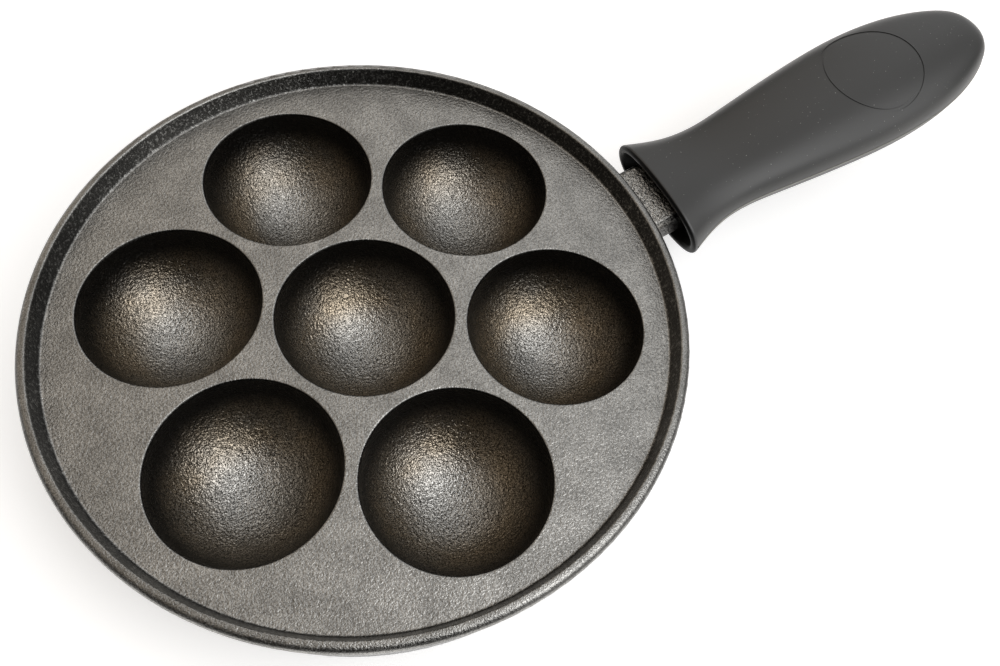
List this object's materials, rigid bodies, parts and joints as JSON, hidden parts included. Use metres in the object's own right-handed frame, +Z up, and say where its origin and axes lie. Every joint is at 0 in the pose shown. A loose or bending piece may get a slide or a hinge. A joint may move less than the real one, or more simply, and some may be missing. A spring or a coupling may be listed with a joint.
{
  "type": "aebleskiver pan",
  "caption": "Round cast iron pan with deep round cups for ball-shaped pancakes, a low rim and a straight handle in a slip-on silicone sleeve.",
  "frame": {"origin": "on the plane that the pan stands on, under the middle of the middle cup", "axes": "+X along the handle, away from the pan; +Z up, out of the cups; +Y completes a right-handed frame"},
  "size_m": [0.3668, 0.2076, 0.0552],
  "materials": {
    "cast_iron": "seasoned, with a fine cast grain",
    "silicone": "matte moulded silicone"
  },
  "bodies": {
    "pan": {"pan_casting": "cast_iron"},
    "sleeve": {"handle_sleeve": "silicone"}
  },
  "joints": [
    {"name": "sleeve_pull", "type": "slide", "parent": "pan", "child": "sleeve", "axis": [0.9877, 0, 0.1564], "range_m": [0, 0.15]}
  ]
}
